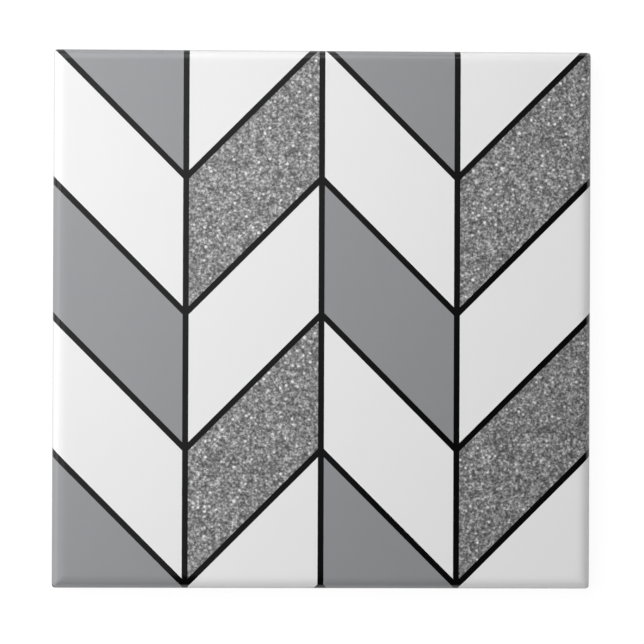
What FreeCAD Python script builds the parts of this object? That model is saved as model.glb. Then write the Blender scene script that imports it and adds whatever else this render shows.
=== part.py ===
"""Glazed ceramic wall tile with a chevron print.

One pressed piece, in millimetres. It lies on its back: +Z points out of the glazed
face, +Y is up on the wall and +X is to the right. The origin is the middle of the back.
"""

import FreeCAD
import Part
import math
import os

from FreeCAD import Vector

# Pressed body
tile_side = 108.0
tile_thickness = 6.4
corner_radius = 1.1
edge_roll_radius = 2.2
side_draft_deg = 2.0
back_arris = 0.4

# Keyed back: a grid of ribs between shallow pockets that hold the adhesive
back_rim_width = 4.0
key_rows = 8
key_rib_width = 2.4
key_depth = 0.6
key_corner_radius = 1.2

# Printed chevron: columns of slanted cells between dark lines, flush in the glaze
chevron_columns = 4
chevron_column_width = 27.15
chevron_cell_height = 27.2
chevron_slope_deg = 45.0
chevron_line_width = 1.2
chevron_above_centre = 1.06
chevron_right_of_centre = -0.15
glaze_skirt = 1.2

# The outline is widest where the roll stands upright, a little above the draft's wall
side_draft = math.radians(side_draft_deg)
draft_gain = math.tan(side_draft) + 1 / math.cos(side_draft) - 1
top_half = tile_side / 2 + edge_roll_radius * draft_gain
back_half = top_half - tile_thickness * math.tan(side_draft)
roll_foot = tile_thickness - edge_roll_radius * (1 + math.sin(side_draft))
glaze_line = roll_foot - glaze_skirt

# The pockets share what the rim and the ribs leave of the back
key_field = 2 * (back_half - back_rim_width)
key_pocket = (key_field - (key_rows - 1) * key_rib_width) / key_rows
key_pitch = key_pocket + key_rib_width

chevron_fall = chevron_column_width * math.tan(math.radians(chevron_slope_deg))
chevron_left = chevron_right_of_centre - chevron_columns * chevron_column_width / 2


def frustum(low_half, high_half, height):
    """Square block standing on z = 0, with all four sides leaning alike."""
    block = Part.makeWedge(
        -low_half, 0, -low_half, -high_half, -high_half,
        low_half, height, low_half, high_half, high_half,
    )
    block.rotate(Vector(0, 0, 0), Vector(1, 0, 0), 90)
    return block


def edges_at(shape, level):
    """Edges that lie wholly in one level plane."""
    near = 1e-4
    return [
        edge for edge in shape.Edges
        if abs(edge.BoundBox.ZMin - level) < near and abs(edge.BoundBox.ZMax - level) < near
    ]


def upright_edges(shape):
    """The four edges of a block that join its base to its top."""
    return [edge for edge in shape.Edges if edge.BoundBox.ZLength > shape.BoundBox.ZLength / 2]


def pressed_blank():
    """The body as it leaves the die: drafted sides, rolled face edges, back arris."""
    blank = frustum(back_half, top_half, tile_thickness)
    blank = blank.makeFillet(corner_radius, upright_edges(blank))
    blank = blank.makeFillet(edge_roll_radius, edges_at(blank, tile_thickness))
    return blank.makeChamfer(back_arris, edges_at(blank, 0))


def zigzag_height(column_line, row):
    """Height of a printed zigzag where it crosses a column line."""
    fall = chevron_fall if column_line % 2 else 0
    return chevron_above_centre + row * chevron_cell_height - fall


def cell_corners(column, row):
    """Corners of one cell, inside the middle lines of the print that bound it."""
    left = chevron_left + column * chevron_column_width
    right = left + chevron_column_width
    slope = (zigzag_height(column + 1, 0) - zigzag_height(column, 0)) / chevron_column_width
    side_inset = chevron_line_width / 2
    level_inset = side_inset * math.hypot(1, slope)
    # The outer cells run off the tile, so they have no line on that side
    run_off = tile_side / 2
    start = left - run_off if column == 0 else left + side_inset
    end = right + run_off if column == chevron_columns - 1 else right - side_inset
    corners = []
    for x, line, inset in (
        (start, row, level_inset),
        (end, row, level_inset),
        (end, row + 1, -level_inset),
        (start, row + 1, -level_inset),
    ):
        y = zigzag_height(column, line) + slope * (x - left) + inset
        corners.append((x, y))
    return corners


def print_cells():
    """Outlines of all cells that reach the tile's face."""
    reach = math.ceil((tile_side / 2 + chevron_fall) / chevron_cell_height) + 1
    cells = []
    for column in range(chevron_columns):
        for row in range(-reach, reach + 1):
            corners = cell_corners(column, row)
            heights = [y for x, y in corners]
            if min(heights) < tile_side / 2 and max(heights) > -tile_side / 2:
                cells.append(corners)
    return cells


def cell_wall(corners):
    """Upright wall over a cell's outline, from the glaze line to above the face."""
    ring = [Vector(x, y, glaze_line) for x, y in corners]
    outline = Part.makePolygon(ring + ring[:1])
    return outline.extrude(Vector(0, 0, tile_thickness))


def imprint(blank):
    """Part the skin along the glaze line and along every cell of the print."""
    glaze_edge = Part.makePlane(
        2 * tile_side, 2 * tile_side, Vector(-tile_side, -tile_side, glaze_line)
    )
    walls = [cell_wall(corners) for corners in print_cells()]
    skin = blank.Faces
    pieces_of = skin[0].generalFuse(skin[1:] + [glaze_edge] + walls)[1]
    parted = [piece for pieces in pieces_of[:len(skin)] for piece in pieces]
    return Part.Solid(Part.Shell(parted))


def key_pockets():
    """Cutters for all pockets of the keyed back, with a rib crossing in the middle."""
    pocket = frustum(key_pocket / 2, key_pocket / 2, key_depth)
    pocket = pocket.makeFillet(key_corner_radius, upright_edges(pocket))
    first = -(key_rows - 1) * key_pitch / 2
    pockets = []
    for row in range(key_rows):
        for column in range(key_rows):
            place = Vector(first + column * key_pitch, first + row * key_pitch, 0)
            pockets.append(pocket.translated(place))
    return Part.makeCompound(pockets)


os.makedirs("parts", exist_ok=True)
tile = imprint(pressed_blank()).cut(key_pockets())
tile.exportStep("parts/tile.step")
print("tile: valid", tile.isValid(), "faces", len(tile.Faces), "volume", round(tile.Volume, 1))
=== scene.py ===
"""Looks of the glazed chevron wall tile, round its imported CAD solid.

The tile lies on its back: +Z points out of the glazed face and +Y is up on the wall.
The mesh, the lamps and the camera are in metres, and the print and the grain of the
materials in millimetres.
"""

import bpy
import math
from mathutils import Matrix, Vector


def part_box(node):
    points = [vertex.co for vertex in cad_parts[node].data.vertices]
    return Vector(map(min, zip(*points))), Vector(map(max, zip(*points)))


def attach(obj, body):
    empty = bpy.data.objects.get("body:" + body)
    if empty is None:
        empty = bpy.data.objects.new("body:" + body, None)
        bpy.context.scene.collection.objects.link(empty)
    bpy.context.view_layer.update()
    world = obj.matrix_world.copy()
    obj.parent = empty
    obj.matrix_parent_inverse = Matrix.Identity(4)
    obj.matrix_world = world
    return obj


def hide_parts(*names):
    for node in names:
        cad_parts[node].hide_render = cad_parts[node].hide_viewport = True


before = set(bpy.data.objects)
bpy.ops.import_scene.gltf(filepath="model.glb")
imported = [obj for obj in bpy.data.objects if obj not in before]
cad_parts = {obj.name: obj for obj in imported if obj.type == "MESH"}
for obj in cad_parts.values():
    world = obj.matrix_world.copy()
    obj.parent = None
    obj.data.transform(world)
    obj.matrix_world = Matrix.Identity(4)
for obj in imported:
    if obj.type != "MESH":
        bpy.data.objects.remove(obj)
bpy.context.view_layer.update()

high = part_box("tile")[1]
MM = 0.001

# Outline and section of the pressed body; a fullness of 2 is a round arc, and more is squarer
HALF_SIDE = high.x
THICKNESS = high.z
WIDEST_Z = 4.2 * MM
DRAFT = math.tan(math.radians(2.0))
ROLL_REACH = 2.8 * MM
ROLL_DROP = THICKNESS - WIDEST_Z
ROLL_FULLNESS = 2.3
CORNER_FULLNESS = 8.5
ARRIS = 0.4 * MM
WALL_FOOT_Z = ARRIS + 0.1 * MM

# Glaze on the sides: where it ends, how far that end strays, and how thick it stands
GLAZE_END_Z = 2.9 * MM
GLAZE_STRAY = 0.28 * MM
GLAZE_STEP = 0.09 * MM

# Waves of the glaze's end: share of the stray, how many go round the tile, and phase
GLAZE_WAVES = ((0.40, 7, 0.6), (0.28, 13, 2.1), (0.20, 29, 4.4), (0.12, 53, 1.3))

# Lip of the glaze: height over its end, and share of its thickness that is gone there
LIP_TOP = 0.15 * MM
LIP_STEPS = ((0.06 * MM, 0.15), (0.01 * MM, 0.5), (0.0, 1.0))
BARE_BELOW_END = 0.12 * MM

# Keyed back
KEY_ROWS = 8
BACK_RIM = 4.0 * MM
KEY_RIB = 2.4 * MM
KEY_DEPTH = 0.6 * MM
KEY_CORNER = 1.2 * MM

# Section of a pocket inwards: how far past its side, how much rounder, and how deep
POCKET_SECTION = (
    (0.12 * MM, 0.12 * MM, 0.0),
    (0.04 * MM, 0.04 * MM, 0.03 * MM),
    (-0.01 * MM, 0.0, 0.12 * MM),
    (-0.08 * MM, 0.0, KEY_DEPTH - 0.14 * MM),
    (-0.13 * MM, 0.0, KEY_DEPTH - 0.04 * MM),
    (-0.26 * MM, -0.1 * MM, KEY_DEPTH),
)

# Printed chevron, in millimetres; its lines end where x less y passes LINE_END
COLUMNS = 4
COLUMN_WIDTH = 27.15
CELL_HEIGHT = 27.2
SLOPE = math.radians(45.0)
LINE_WIDTH = 1.2
LINE_SOFTNESS = 0.03
ABOVE_CENTRE = 1.06
RIGHT_OF_CENTRE = -0.15
LINE_END = 106.0

# How finely the mesh is divided; the arris is at turns in degrees
POCKET_ARC_STEPS = 6
STRAIGHT_STEPS = 6
CORNER_STEPS = 12
ROLL_STEPS = 14
GLAZED_WALL_STEPS = 5
BARE_WALL_STEPS = 4
ARRIS_TURNS = (30, 60, 90)

# Camera: place in metres, turn in degrees, lens and sensor in millimetres
CAMERA_PLACE = (-0.01084, -0.00205, 0.48662)
CAMERA_TURN = (0.178, -1.290, 0.232)
CAMERA_LENS = 134.16
CAMERA_SENSOR = 36.0
CAMERA_NEAR = 0.01
CAMERA_FAR = 100.0

back_half = HALF_SIDE - WIDEST_Z * DRAFT
key_pocket = (2 * (back_half - BACK_RIM) - (KEY_ROWS - 1) * KEY_RIB) / KEY_ROWS
key_pitch = key_pocket + KEY_RIB
field_half = KEY_ROWS * key_pitch / 2


def even_places(half):
    """Places spaced evenly along a straight side, from -half to half."""
    return [half * (2 * i / STRAIGHT_STEPS - 1) for i in range(STRAIGHT_STEPS + 1)]


def cell_middle(index):
    """Where the middle of a row or column of back cells lies."""
    return (index - (KEY_ROWS - 1) / 2) * key_pitch


def cell_stations():
    """Places along one side of a back cell: its pocket's straight, and on to its corners."""
    straight = key_pocket / 2 - KEY_CORNER
    count = POCKET_ARC_STEPS // 2
    outer = [straight + (key_pitch / 2 - straight) * (i + 1) / count for i in range(count)]
    return [-x for x in reversed(outer)] + even_places(straight) + outer


def side_stations():
    """The same places along the whole side, as shares from -1 to 1."""
    places = [-field_half]
    for cell in range(KEY_ROWS):
        places += [cell_middle(cell) + x for x in cell_stations()[1:]]
    return [x / field_half for x in places]


STATIONS = side_stations()
SIDE_RING = len(STATIONS) + CORNER_STEPS - 1
RING = 4 * SIDE_RING


def turned(x, y, quarter):
    """A point turned clockwise by that many quarters, from the upper side of the tile."""
    for _ in range(quarter):
        x, y = y, -x
    return x, y


def corner_points(straight, reach, fullness, steps):
    """Points round the upper right corner, between the ends of its two sides."""
    points = []
    for step in range(1, steps):
        turn = math.pi / 2 * step / steps
        points.append((
            straight + reach * math.sin(turn) ** (2 / fullness),
            straight + reach * math.cos(turn) ** (2 / fullness),
        ))
    return points


def outline(straight, reach):
    """Points clockwise round a rounded square whose sides lie at straight plus reach."""
    side = [(share * straight, straight + reach) for share in STATIONS]
    side += corner_points(straight, reach, CORNER_FULLNESS, CORNER_STEPS)
    return [turned(x, y, quarter) for quarter in range(4) for x, y in side]


def roll_section():
    """The rolled edge from the flat face outwards: reach and height of each step."""
    steps = []
    for step in range(ROLL_STEPS + 1):
        turn = math.pi / 2 * step / ROLL_STEPS
        reach = ROLL_REACH * math.sin(turn) ** (2 / ROLL_FULLNESS)
        drop = ROLL_DROP * (1 - math.cos(turn) ** (2 / ROLL_FULLNESS))
        steps.append((reach, THICKNESS - drop))
    return steps


def glaze_end(share):
    """Height at which the glaze ends, at that share of the way round the tile."""
    turn = share * math.tau
    wave = sum(part * math.sin(count * turn + phase) for part, count, phase in GLAZE_WAVES)
    return GLAZE_END_Z + GLAZE_STRAY * wave


# Points that round to the same step are one point, at so many steps a metre
POINT_STEPS = 1e7


class Mesh:
    """Points and faces, each face with its material and its places on the bake map."""

    def __init__(self):
        self.points, self.faces, self.slots, self.maps = [], [], [], []
        self.known = {}

    def point(self, x, y, z):
        """The number of a point, which faces that meet there share."""
        key = tuple(round(value * POINT_STEPS) for value in (x, y, z))
        if key not in self.known:
            self.known[key] = len(self.points)
            self.points.append((x, y, z))
        return self.known[key]

    def face(self, corners, slot, spots):
        """corners are points in space, anticlockwise from outside; spots are map places."""
        ids = [self.point(*corner) for corner in corners]
        kept = [i for i in range(len(ids)) if ids[i] != ids[i - 1]]
        if len(kept) > 2:
            self.faces.append([ids[i] for i in kept])
            self.slots.append(slot)
            self.maps.append([spots[i] for i in kept])


# Material slots of the tile
GLAZE, BISCUIT = 0, 1

# Bake map: the unrolled face, beyond it a strip for each side, and the back in quarters
FACE_SHARE = 0.79
STRIP_SHARE = 0.045
QUARTER_SHARE = 0.19
MARGIN = 0.005
BEYOND_FACE = FACE_SHARE + 3 * MARGIN


def face_spot(x, y, half):
    """Place on the map of a point of the unrolled face."""
    scale = FACE_SHARE / (2 * half)
    return MARGIN + (x + half) * scale, MARGIN + (y + half) * scale


def strip_spot(side, along, down):
    """Place on the map of a point of the upright sides; along and down run 0 to 1."""
    top = BEYOND_FACE + side * (STRIP_SHARE + MARGIN)
    return MARGIN + along * (1 - 2 * MARGIN), top + down * STRIP_SHARE


def back_spot(x, y, right, upper):
    """Place on the map of a point of the back, by the quarter that it is in."""
    column = (x - (0 if right else -back_half)) / back_half
    row = (y - (0 if upper else -back_half)) / back_half
    place = 2 * right + upper
    return (
        BEYOND_FACE + column * QUARTER_SHARE,
        MARGIN + place * (QUARTER_SHARE + MARGIN) + row * QUARTER_SHARE,
    )


def add_face(mesh, straight, half):
    """The flat of the face, whose map lies in the middle of the unrolled face's."""
    steps = range(len(STATIONS) - 1)
    for i in steps:
        for j in steps:
            corners = [
                (STATIONS[a] * straight, STATIONS[b] * straight, THICKNESS)
                for a, b in ((i, j), (i + 1, j), (i + 1, j + 1), (i, j + 1))
            ]
            mesh.face(corners, GLAZE, [face_spot(x, y, half) for x, y, z in corners])


def add_face_and_roll(mesh):
    """The glazed face and its rolled edges, which the map shows unrolled round it."""
    straight = HALF_SIDE - ROLL_REACH
    rings, flat_rings = [], []
    arc, last = 0.0, (0.0, THICKNESS)
    for reach, z in roll_section():
        arc += math.hypot(reach - last[0], z - last[1])
        last = (reach, z)
        rings.append([(x, y, z) for x, y in outline(straight, reach)])
        flat_rings.append(outline(straight, arc))
    half = straight + arc

    add_face(mesh, straight, half)
    for i in range(ROLL_STEPS):
        inner, outer = rings[i], rings[i + 1]
        flat_inner, flat_outer = flat_rings[i], flat_rings[i + 1]
        for k in range(RING):
            n = (k + 1) % RING
            flat = [flat_inner[n], flat_outer[n], flat_outer[k], flat_inner[k]]
            mesh.face(
                [inner[n], outer[n], outer[k], inner[k]],
                GLAZE,
                [face_spot(x, y, half) for x, y in flat],
            )


def side_rows():
    """Rows down the upright sides: heights round the tile, inset, and material."""
    ends = [glaze_end(k / RING) for k in range(RING)]
    rows = []
    for step in range(GLAZED_WALL_STEPS + 1):
        share = step / GLAZED_WALL_STEPS
        heights = [WIDEST_Z + (end + LIP_TOP - WIDEST_Z) * share for end in ends]
        rows.append((heights, 0.0, GLAZE))
    for above, gone in LIP_STEPS:
        rows.append(([end + above for end in ends], gone * GLAZE_STEP, GLAZE))
    for step in range(BARE_WALL_STEPS + 1):
        share = step / BARE_WALL_STEPS
        heights = [(end - BARE_BELOW_END) * (1 - share) + WALL_FOOT_Z * share for end in ends]
        rows.append((heights, GLAZE_STEP * (1 - share) ** 2, BISCUIT))
    for turn in ARRIS_TURNS:
        angle = math.radians(turn)
        height = ARRIS * (1 - math.sin(angle))
        rows.append(([height] * RING, ARRIS * (1 - math.cos(angle)), BISCUIT))
    return rows


def wall_ring(heights, inset):
    """A ring round the upright sides at those heights, inset from the drafted wall."""
    ring = []
    for (x, y), z in zip(outline(HALF_SIDE - ROLL_REACH, ROLL_REACH), heights):
        share = (HALF_SIDE - (WIDEST_Z - z) * DRAFT - inset) / HALF_SIDE
        ring.append((x * share, y * share, z))
    return ring


def add_sides(mesh):
    """The upright sides down to the foot of the arris, whose ring is returned."""
    rows = side_rows()
    rings = [wall_ring(heights, inset) for heights, inset, slot in rows]
    # Each strip of the map runs from the middle of one corner to the middle of the next
    strip_start = len(STATIONS) - 1 + CORNER_STEPS // 2
    steps = len(rows) - 1
    for i in range(steps):
        upper, lower = rings[i], rings[i + 1]
        top, foot = i / steps, (i + 1) / steps
        slot = rows[i + 1][2]
        for k in range(RING):
            n = (k + 1) % RING
            side, place = divmod((k - strip_start) % RING, SIDE_RING)
            start, end = place / SIDE_RING, (place + 1) / SIDE_RING
            spots = [
                strip_spot(side, end, top),
                strip_spot(side, end, foot),
                strip_spot(side, start, foot),
                strip_spot(side, start, top),
            ]
            mesh.face([upper[n], lower[n], lower[k], upper[k]], slot, spots)
    return rings[-1]


def pocket_ring(half, radius):
    """Points clockwise round a pocket, for one step of its section."""
    straight = half - radius
    side = [(x, half) for x in even_places(straight)]
    side += corner_points(straight, radius, 2, POCKET_ARC_STEPS)
    return [turned(x, y, quarter) for quarter in range(4) for x, y in side]


def cell_ring():
    """Points clockwise round a back cell, matched one to one with its pocket's points."""
    half = key_pitch / 2
    places = cell_stations()
    first = POCKET_ARC_STEPS // 2
    side = [(x, half) for x in places[first:]]
    side += [(half, y) for y in reversed(places[-first:-1])]
    return [turned(x, y, quarter) for quarter in range(4) for x, y in side]


def cell_faces():
    """Faces of one cell of the back: its share of the ribs, and its pocket."""
    rings = [[(x, y, 0.0) for x, y in cell_ring()]]
    for past, rounder, depth in POCKET_SECTION:
        ring = pocket_ring(key_pocket / 2 + past, KEY_CORNER + rounder)
        rings.append([(x, y, depth) for x, y in ring])
    faces = []
    for outer, inner in zip(rings, rings[1:]):
        for k in range(len(outer)):
            n = (k + 1) % len(outer)
            faces.append([outer[k], outer[n], inner[n], inner[k]])
    faces.append(rings[-1])
    return faces


def add_pockets(mesh):
    """The field of ribs and pockets on the back."""
    faces = cell_faces()
    for row in range(KEY_ROWS):
        up = cell_middle(row)
        for column in range(KEY_ROWS):
            across = cell_middle(column)
            for face in faces:
                corners = [(x + across, y + up, z) for x, y, z in face]
                spots = [back_spot(x, y, across > 0, up > 0) for x, y, z in corners]
                mesh.face(corners, BISCUIT, spots)


def add_back_rim(mesh, foot_ring):
    """The level band between the field of pockets and the back arris."""
    side = [(share * field_half, field_half) for share in STATIONS]
    side += [(field_half, field_half)] * (CORNER_STEPS - 1)
    field = [(*turned(x, y, quarter), 0.0) for quarter in range(4) for x, y in side]
    for k in range(RING):
        n = (k + 1) % RING
        corners = [foot_ring[k], foot_ring[n], field[n], field[k]]
        right = sum(x for x, y, z in corners) > 0
        upper = sum(y for x, y, z in corners) > 0
        mesh.face(corners, BISCUIT, [back_spot(x, y, right, upper) for x, y, z in corners])


def build_tile():
    """The tile as one closed mesh, which stands for its CAD node."""
    mesh = Mesh()
    add_face_and_roll(mesh)
    foot_ring = add_sides(mesh)
    add_pockets(mesh)
    add_back_rim(mesh, foot_ring)

    data = bpy.data.meshes.new("chevron_tile")
    data.from_pydata(mesh.points, [], mesh.faces)
    data.polygons.foreach_set("material_index", mesh.slots)
    data.polygons.foreach_set("use_smooth", [True] * len(mesh.faces))
    layer = data.uv_layers.new(name="OFBake")
    layer.data.foreach_set("uv", [c for spots in mesh.maps for spot in spots for c in spot])
    data.validate()
    data.update()
    piece = bpy.data.objects.new("chevron_tile", data)
    bpy.context.scene.collection.objects.link(piece)
    piece.modifiers.new("level_shading", "WEIGHTED_NORMAL")
    return piece


class Nodes:
    """Short calls that add shader nodes to one tree and join them."""

    def __init__(self, tree):
        self.tree = tree

    def add(self, kind, **settings):
        node = self.tree.nodes.new("ShaderNode" + kind)
        for name, value in settings.items():
            setattr(node, name, value)
        return node

    def feed(self, socket, value):
        if isinstance(value, bpy.types.NodeSocket):
            self.tree.links.new(value, socket)
        else:
            socket.default_value = value

    def math(self, operation, *values):
        node = self.add("Math", operation=operation)
        for socket, value in zip(node.inputs, values):
            self.feed(socket, value)
        return node.outputs[0]

    def ramp(self, value, start, end, low=0.0, high=1.0, smooth=True):
        """value from start to end becomes low to high, and stays level outside them."""
        node = self.add("MapRange")
        node.interpolation_type = "SMOOTHSTEP" if smooth else "LINEAR"
        for socket, item in zip(node.inputs, (value, start, end, low, high)):
            self.feed(socket, item)
        return node.outputs["Result"]

    def mix(self, share, first, second, kind="RGBA"):
        node = self.add("Mix", data_type=kind)
        sockets = [s for s in node.inputs if s.enabled]
        for socket, item in zip(sockets, (share, first, second)):
            self.feed(socket, item)
        return next(s for s in node.outputs if s.enabled)

    def split(self, vector):
        """The x, y and z of a vector."""
        node = self.add("SeparateXYZ")
        self.feed(node.inputs[0], vector)
        return tuple(node.outputs)

    def scaled(self, vector, factor):
        node = self.add("VectorMath", operation="SCALE")
        self.feed(node.inputs[0], vector)
        self.feed(node.inputs["Scale"], factor)
        return node.outputs[0]

    def millimetres(self):
        """The place on the tile in millimetres, as a vector."""
        return self.scaled(self.add("TexCoord").outputs["Object"], 1 / MM)

    def noise(self, place, scale, detail=2.0, roughness=0.5):
        node = self.add("TexNoise")
        self.feed(node.inputs["Vector"], place)
        self.feed(node.inputs["Scale"], scale)
        self.feed(node.inputs["Detail"], detail)
        self.feed(node.inputs["Roughness"], roughness)
        return node.outputs[0]

    def scatter(self, place, scale):
        """Scattered spots: distance from the nearest one, and that one's random number."""
        node = self.add("TexVoronoi")
        self.feed(node.inputs["Vector"], place)
        self.feed(node.inputs["Scale"], scale)
        chosen = self.add("SeparateColor")
        self.feed(chosen.inputs[0], node.outputs["Color"])
        return node.outputs["Distance"], chosen.outputs[0]

    def relief(self, height, strength, depth):
        """Normal of a surface raised by height times depth, in metres."""
        node = self.add("Bump")
        self.feed(node.inputs["Strength"], strength)
        self.feed(node.inputs["Distance"], depth)
        self.feed(node.inputs["Height"], height)
        return node.outputs[0]


def grey(value):
    return (value, value, value, 1.0)


def new_material(name):
    material = bpy.data.materials.new(name)
    material.use_nodes = True
    nodes = Nodes(material.node_tree)
    return material, nodes, material.node_tree.nodes["Principled BSDF"]


# Colours of the printed glaze, and how much its grey is clouded
WHITE_LOW, WHITE_HIGH = grey(0.852), grey(0.868)
GREY_LOW, GREY_HIGH = (0.264, 0.268, 0.279, 1), (0.323, 0.328, 0.341, 1)
GREY_CLOUD = 0.17
LINE_BLACK = grey(0.0035)

# Printed glitter: its tone is the exponential of contrast times mottle, less the offset
GLITTER_CONTRAST = 4.0
GLITTER_OFFSET = 4.14
CLUMP_SHARE = 0.35
SPECK_LIGHT = 0.76
BRIGHTEST_SPECK = 0.85

# Painted shade over the rolled edge, where the glaze also runs thin: the colour darkens from
# one height down to another, in millimetres, to this tone
EDGE_SHADE_FROM_Z = 5.7
EDGE_SHADE_TO_Z = 5.0
EDGE_SHADE_TONE = 0.74

# Relief of the glaze, and the long waves in it as a multiple of its orange peel
GLAZE_RELIEF = 0.0012 * MM
WAVE_HEIGHT = 8.0

# Colours and relief of the fired body, and its pits: how many of the spots stay without
# one, how strongly one is tinted, and its depth as a multiple of the grain's
BODY_LOW, BODY_HIGH = (0.74, 0.70, 0.635, 1), (0.80, 0.765, 0.705, 1)
BODY_GRAIN = (0.70, 0.655, 0.585, 1)
BODY_RELIEF = 0.06 * MM
PIT_COLOUR = (0.36, 0.31, 0.25, 1)
PITLESS_SHARE = 0.55
PIT_TINT = 0.55
PIT_DEPTH = 1.2

# Index of refraction of glaze and fired clay
CERAMIC_IOR = 1.5


def chevron_masks(nodes, place):
    """Where the dark lines, the grey cells and the glitter cells are, as 0 to 1."""
    x, y, _ = nodes.split(place)
    across = nodes.math("SUBTRACT", x, RIGHT_OF_CENTRE)
    column = nodes.math("MULTIPLY_ADD", across, 1 / COLUMN_WIDTH, COLUMNS / 2)
    fall = nodes.math("PINGPONG", column, 1.0)
    level = nodes.math("SUBTRACT", y, ABOVE_CENTRE)
    level = nodes.math("MULTIPLY_ADD", fall, COLUMN_WIDTH * math.tan(SLOPE), level)
    row = nodes.math("DIVIDE", level, CELL_HEIGHT)

    def off_line(value, pitch):
        near = nodes.math("ABSOLUTE", nodes.math("SUBTRACT", value, nodes.math("ROUND", value)))
        return nodes.math("MULTIPLY", near, pitch)

    slanted = off_line(row, CELL_HEIGHT * math.cos(SLOPE))
    upright = off_line(column, COLUMN_WIDTH)
    # The outer columns run off the tile, so they have no upright line on that side
    from_middle = nodes.math("ABSOLUTE", nodes.math("SUBTRACT", column, COLUMNS / 2))
    outside = nodes.math("GREATER_THAN", from_middle, (COLUMNS - 1) / 2)
    upright = nodes.math("ADD", upright, outside)
    nearest = nodes.math("MINIMUM", slanted, upright)
    half = LINE_WIDTH / 2
    line = nodes.ramp(nearest, half - LINE_SOFTNESS, half + LINE_SOFTNESS, low=1.0, high=0.0)
    # The last line would only graze the lower right corner, and stops short of it
    towards_corner = nodes.math("SUBTRACT", x, y)
    printed = nodes.math("LESS_THAN", towards_corner, LINE_END)
    line = nodes.math("MULTIPLY", line, printed)

    odd_column = nodes.math("FLOORED_MODULO", nodes.math("FLOOR", column), 2.0)
    odd_row = nodes.math("FLOORED_MODULO", nodes.math("FLOOR", row), 2.0)
    even_column = nodes.math("SUBTRACT", 1.0, odd_column)
    even_row = nodes.math("SUBTRACT", 1.0, odd_row)
    plain_grey = nodes.math("MULTIPLY", even_column, even_row)
    glitter = nodes.math("MULTIPLY", odd_column, odd_row)
    return line, plain_grey, glitter


def painted_light_drift(nodes, place, middle, across, up):
    """Painted light: a level that drifts evenly over the face, by so much a millimetre, so that
    the print is lighter to the upper left and darker to the lower right.
    """
    x, y, _ = nodes.split(place)
    level = nodes.math("MULTIPLY_ADD", x, across, middle)
    return nodes.math("MULTIPLY_ADD", y, up, level)


def glitter_colour(nodes, place):
    """Printed glitter: mottled flakes with scattered bright specks."""
    fine = nodes.noise(place, scale=2.1, detail=1.0, roughness=0.6)
    clumps = nodes.noise(place, scale=0.75, detail=1.0)
    mottle = nodes.math("MULTIPLY_ADD", clumps, CLUMP_SHARE, fine)
    power = nodes.math("MULTIPLY_ADD", mottle, GLITTER_CONTRAST, -GLITTER_OFFSET)
    tone = nodes.math("EXPONENT", power)

    distance, chosen = nodes.scatter(place, scale=0.86)
    near = nodes.ramp(distance, start=0.08, end=0.37, low=1.0, high=0.0)
    strength = nodes.ramp(chosen, start=0.35, end=1.0, smooth=False)
    speck = nodes.math("MULTIPLY", near, strength)
    tone = nodes.math("MULTIPLY_ADD", speck, SPECK_LIGHT, tone)
    # Painted light: the glitter is lighter to the upper left and darker to the lower right
    drift = painted_light_drift(nodes, place, middle=1.0, across=-0.0015, up=0.001)
    tone = nodes.math("MULTIPLY", tone, drift)
    tone = nodes.math("MINIMUM", tone, BRIGHTEST_SPECK)
    colour = nodes.add("CombineColor")
    for socket in colour.inputs:
        nodes.feed(socket, tone)
    return colour.outputs[0]


def glaze_material():
    """Glossy glaze with the chevron printed in it."""
    material, nodes, shader = new_material("printed_glaze")
    place = nodes.millimetres()
    line, plain_grey, glitter = chevron_masks(nodes, place)

    white = nodes.mix(nodes.noise(place, scale=0.06), WHITE_LOW, WHITE_HIGH)
    cloud = nodes.noise(place, scale=0.35, detail=3.0)
    # Painted light: the grey is lighter to the upper left and darker to the lower right
    drift = painted_light_drift(nodes, place, middle=0.50, across=-0.005, up=0.003)
    share = nodes.math("MULTIPLY_ADD", cloud, GREY_CLOUD, drift)
    printed_grey = nodes.mix(share, GREY_LOW, GREY_HIGH)
    colour = nodes.mix(plain_grey, white, printed_grey)
    colour = nodes.mix(glitter, colour, glitter_colour(nodes, place))
    colour = nodes.mix(line, colour, LINE_BLACK)
    # Painted shade: the colour darkens over the outer bend of the rolled edge
    height = nodes.split(place)[2]
    tone = nodes.ramp(height, start=EDGE_SHADE_TO_Z, end=EDGE_SHADE_FROM_Z, low=EDGE_SHADE_TONE, high=1.0)
    nodes.feed(shader.inputs["Base Color"], nodes.scaled(colour, tone))

    smear = nodes.noise(place, scale=0.12, detail=3.0)
    gloss = nodes.ramp(smear, start=0.3, end=0.7, low=0.06, high=0.10)
    nodes.feed(shader.inputs["Roughness"], gloss)
    shader.inputs["IOR"].default_value = CERAMIC_IOR

    waves = nodes.noise(place, scale=0.11, detail=1.0)
    peel = nodes.noise(place, scale=0.8)
    surface = nodes.math("MULTIPLY_ADD", waves, WAVE_HEIGHT, peel)
    nodes.feed(shader.inputs["Normal"], nodes.relief(surface, strength=1.0, depth=GLAZE_RELIEF))
    return material


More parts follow.
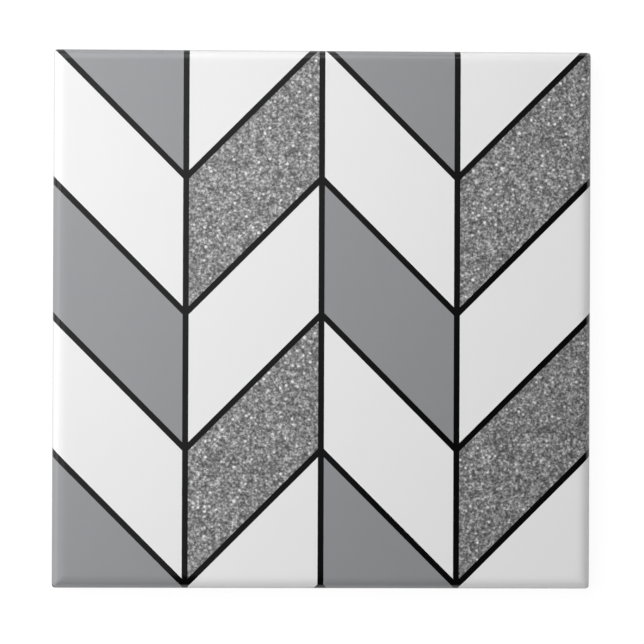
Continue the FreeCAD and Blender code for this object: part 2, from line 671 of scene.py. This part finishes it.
def biscuit_material():
    """Bare fired body: clouded off-white, grainy, with small dark pits."""
    material, nodes, shader = new_material("fired_biscuit")
    place = nodes.millimetres()
    cloud = nodes.noise(place, scale=0.09, detail=4.0)
    grain = nodes.noise(place, scale=3.2, detail=4.0, roughness=0.7)
    clouded = nodes.mix(nodes.ramp(cloud, start=0.3, end=0.7), BODY_LOW, BODY_HIGH)
    grained = nodes.mix(nodes.ramp(grain, start=0.35, end=0.7), clouded, BODY_GRAIN)
    distance, chosen = nodes.scatter(place, scale=0.8)
    near = nodes.ramp(distance, start=0.05, end=0.16, low=1.0, high=0.0)
    pit = nodes.math("MULTIPLY", near, nodes.math("GREATER_THAN", chosen, PITLESS_SHARE))
    colour = nodes.mix(nodes.math("MULTIPLY", pit, PIT_TINT), grained, PIT_COLOUR)
    nodes.feed(shader.inputs["Base Color"], colour)

    matt = nodes.ramp(grain, start=0.3, end=0.7, low=0.82, high=0.93)
    nodes.feed(shader.inputs["Roughness"], matt)
    shader.inputs["IOR"].default_value = CERAMIC_IOR

    surface = nodes.math("MULTIPLY_ADD", pit, -PIT_DEPTH, grain)
    nodes.feed(shader.inputs["Normal"], nodes.relief(surface, strength=0.7, depth=BODY_RELIEF))
    return material


# Floor: half its side, its colour in scattered light, and the shade and white that are seen
FLOOR_HALF = 8.0
FLOOR_COLOUR = grey(0.5)
FLOOR_SHADE = grey(0.12)
FLOOR_WHITE = 0.93

# Studio walls: how much they brighten to the left and, up to a limit, to the far side,
# how bright they get, and the share of that which is left at the outer left
WALL_LEFTWARD = 0.88
WALL_FARWARD = 0.47
WALL_FAR_LIMIT = 0.12
WALL_LIGHT = 0.97
WALL_OUTER_SHARE = 0.75

# Share of the horizon's white that goes into scattered light
HORIZON_SHARE = 0.25


def seen_directly(nodes):
    """1 for rays from the camera, a mirror image or a lens, and 0 for scattered light."""
    rays = nodes.add("LightPath")
    direct = nodes.math("MAXIMUM", rays.outputs["Is Camera Ray"], rays.outputs["Is Glossy Ray"])
    return nodes.math("MAXIMUM", direct, rays.outputs["Is Transmission Ray"])


def floor_material():
    """Pale floor that keeps the tile's shadow and shows white behind it."""
    material = bpy.data.materials.new("pale_floor")
    material.use_nodes = True
    tree = material.node_tree
    tree.nodes.clear()
    nodes = Nodes(tree)
    pale = nodes.add("BsdfDiffuse")
    pale.inputs["Color"].default_value = FLOOR_COLOUR
    shade = nodes.add("BsdfDiffuse")
    shade.inputs["Color"].default_value = FLOOR_SHADE
    white = nodes.add("Emission")
    white.inputs["Strength"].default_value = FLOOR_WHITE
    seen = nodes.add("AddShader")
    nodes.feed(seen.inputs[0], white.outputs[0])
    nodes.feed(seen.inputs[1], shade.outputs[0])
    choice = nodes.add("MixShader")
    nodes.feed(choice.inputs[0], seen_directly(nodes))
    nodes.feed(choice.inputs[1], pale.outputs[0])
    nodes.feed(choice.inputs[2], seen.outputs[0])
    out = nodes.add("OutputMaterial")
    nodes.feed(out.inputs[0], choice.outputs[0])
    return material


def lay_floor():
    half = FLOOR_HALF
    data = bpy.data.meshes.new("floor")
    corners = [(-half, -half, 0), (half, -half, 0), (half, half, 0), (-half, half, 0)]
    data.from_pydata(corners, [], [(0, 1, 2, 3)])
    floor = bpy.data.objects.new("floor", data)
    bpy.context.scene.collection.objects.link(floor)
    data.materials.append(floor_material())


def surround():
    """Studio walls: white where the horizon is seen, light up left and dark over the right."""
    world = bpy.data.worlds.new("studio")
    bpy.context.scene.world = world
    world.use_nodes = True
    nodes = Nodes(world.node_tree)
    x, y, z = nodes.split(nodes.add("TexCoord").outputs["Generated"])
    leftward = nodes.math("MULTIPLY", x, -WALL_LEFTWARD)
    far = nodes.math("MINIMUM", y, WALL_FAR_LIMIT)
    lean = nodes.math("MULTIPLY_ADD", far, WALL_FARWARD, leftward)
    light = nodes.ramp(lean, start=-0.075, end=0.14, high=WALL_LIGHT, smooth=False)
    outer = nodes.ramp(leftward, start=0.2, end=0.55, low=1.0, high=WALL_OUTER_SHARE)
    light = nodes.math("MULTIPLY", light, outer)
    horizon = nodes.ramp(z, start=0.12, end=0.32, low=1.0, high=0.0)
    white = nodes.math("MULTIPLY_ADD", seen_directly(nodes), 1 - HORIZON_SHARE, HORIZON_SHARE)
    background = world.node_tree.nodes["Background"]
    background.inputs["Color"].default_value = grey(1.0)
    nodes.feed(background.inputs["Strength"], nodes.mix(horizon, light, white, kind="FLOAT"))


def softbox(name, place, size, radiance, aim=(0.0, 0.0), mirrored=False):
    """A rectangular lamp of even radiance, aimed at a place level with the tile's face."""
    data = bpy.data.lights.new(name, "AREA")
    data.shape = "RECTANGLE"
    data.size, data.size_y = size
    data.energy = radiance * math.pi * size[0] * size[1]
    lamp = bpy.data.objects.new(name, data)
    lamp.location = place
    sight = Vector((*aim, THICKNESS)) - Vector(place)
    lamp.rotation_euler = sight.to_track_quat("-Z", "Y").to_euler()
    lamp.visible_camera = False
    lamp.visible_glossy = mirrored
    bpy.context.scene.collection.objects.link(lamp)


def light_studio():
    """A key light, three fills, and a strip lamp that alone shows in the gloss."""
    softbox("key", place=(-0.1236, 0.0402, 0.2316), size=(0.2, 0.2), radiance=2.31)
    softbox(
        "strip", place=(-0.266, 0.105, 0.218), size=(0.833, 0.2), radiance=0.95,
        aim=(-0.101, -0.087), mirrored=True,
    )
    softbox("far", place=(-0.05, 0.5, 0.33), size=(0.5, 0.3), radiance=1.05)
    softbox("right", place=(0.42, 0.09, 0.065), size=(0.3, 0.1), radiance=4.2)
    softbox("near", place=(-0.15, -0.40, 0.065), size=(0.3, 0.1), radiance=3.1)


def place_camera():
    data = bpy.data.cameras.new("camera")
    data.sensor_width = CAMERA_SENSOR
    data.lens = CAMERA_LENS
    data.clip_start = CAMERA_NEAR
    data.clip_end = CAMERA_FAR
    camera = bpy.data.objects.new("camera", data)
    camera.location = CAMERA_PLACE
    camera.rotation_euler = [math.radians(angle) for angle in CAMERA_TURN]
    bpy.context.scene.collection.objects.link(camera)
    bpy.context.scene.camera = camera


tile = build_tile()
tile.data.materials.append(glaze_material())
tile.data.materials.append(biscuit_material())
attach(tile, "root")
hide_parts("tile")

lay_floor()
surround()
light_studio()
place_camera()
bpy.context.scene.view_settings.view_transform = "Standard"
